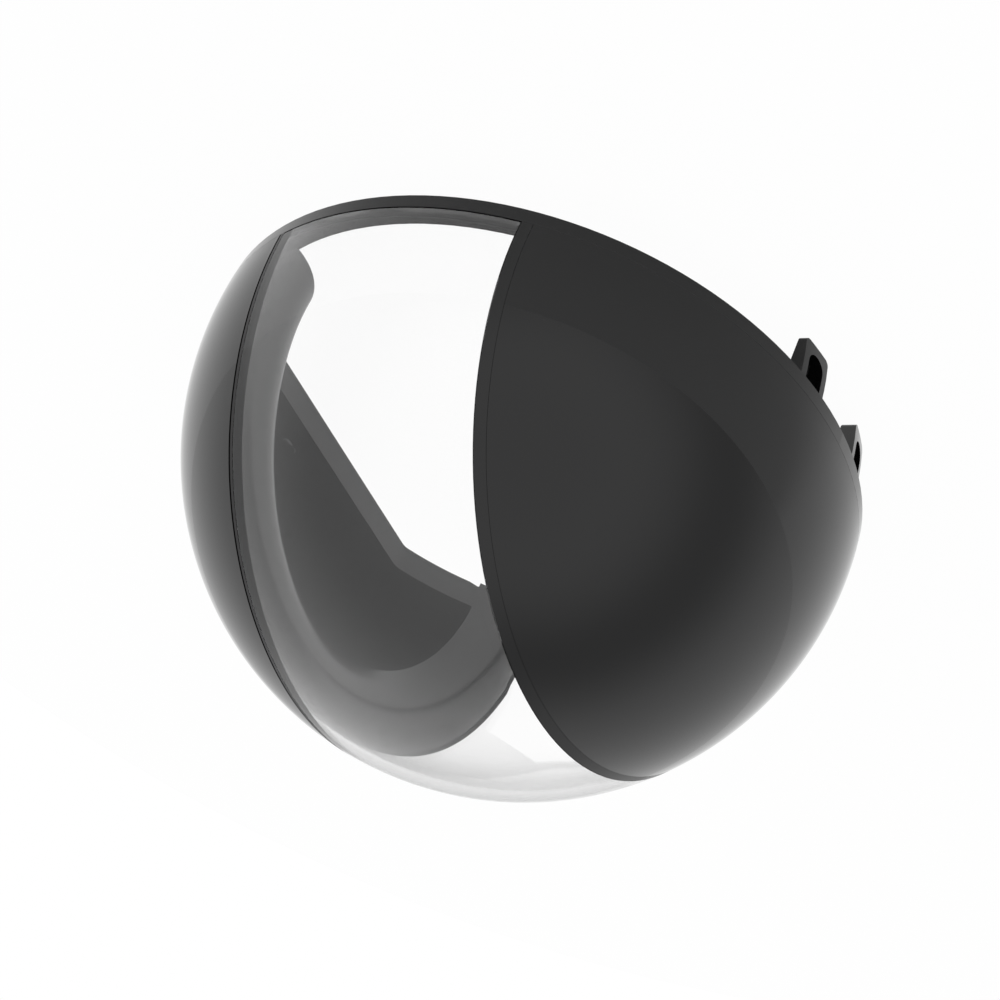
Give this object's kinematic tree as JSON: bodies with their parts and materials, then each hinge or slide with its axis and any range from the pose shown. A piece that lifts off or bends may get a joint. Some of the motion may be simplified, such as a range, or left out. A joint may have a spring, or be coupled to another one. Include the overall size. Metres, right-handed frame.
{
  "type": "camera dome cover",
  "caption": "Half-round camera dome cover: a clear strip over the top between dark side shells, on a dark base ring with snap-in clip tabs.",
  "frame": {"origin": "on the dome's axis, in the plane of the clip tabs' tips, which is the lowest plane of the part", "axes": "+Z along the dome's axis towards its crown, +X towards the right cheek; the clear strip runs over the top along Y and the clip tabs are on the two X sides"},
  "size_m": [0.12, 0.12, 0.0744],
  "materials": {
    "black_plastic": "gloss",
    "clear_plastic": "clear gloss"
  },
  "bodies": {
    "root": {"base_ring": "black_plastic", "right_side_frame": "black_plastic", "left_side_frame": "black_plastic", "right_cheek": "black_plastic", "left_cheek": "black_plastic", "window_strip": "clear_plastic"}
  },
  "joints": []
}
